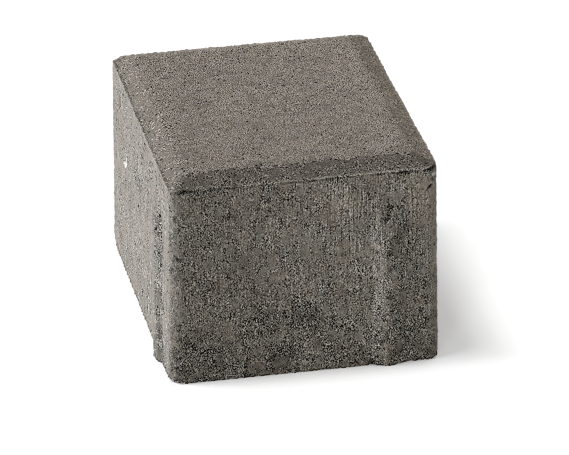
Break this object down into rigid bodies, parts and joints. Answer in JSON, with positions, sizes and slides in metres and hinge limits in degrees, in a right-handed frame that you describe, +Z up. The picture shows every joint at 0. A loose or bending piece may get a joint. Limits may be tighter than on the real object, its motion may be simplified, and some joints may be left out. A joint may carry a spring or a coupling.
{
  "type": "concrete paving stone",
  "caption": "Rectangular concrete paving stone with a chamfered walking face and a low spacer nib up each side.",
  "frame": {"origin": "middle of the base, on the surface the stone lies on", "axes": "+Z up through the walking face, +Y along the longer side, +X to the right of it seen from the front"},
  "size_m": [0.1036, 0.1276, 0.08],
  "materials": {
    "concrete": "matte"
  },
  "bodies": {
    "root": {"paving_stone": "concrete"}
  },
  "joints": []
}
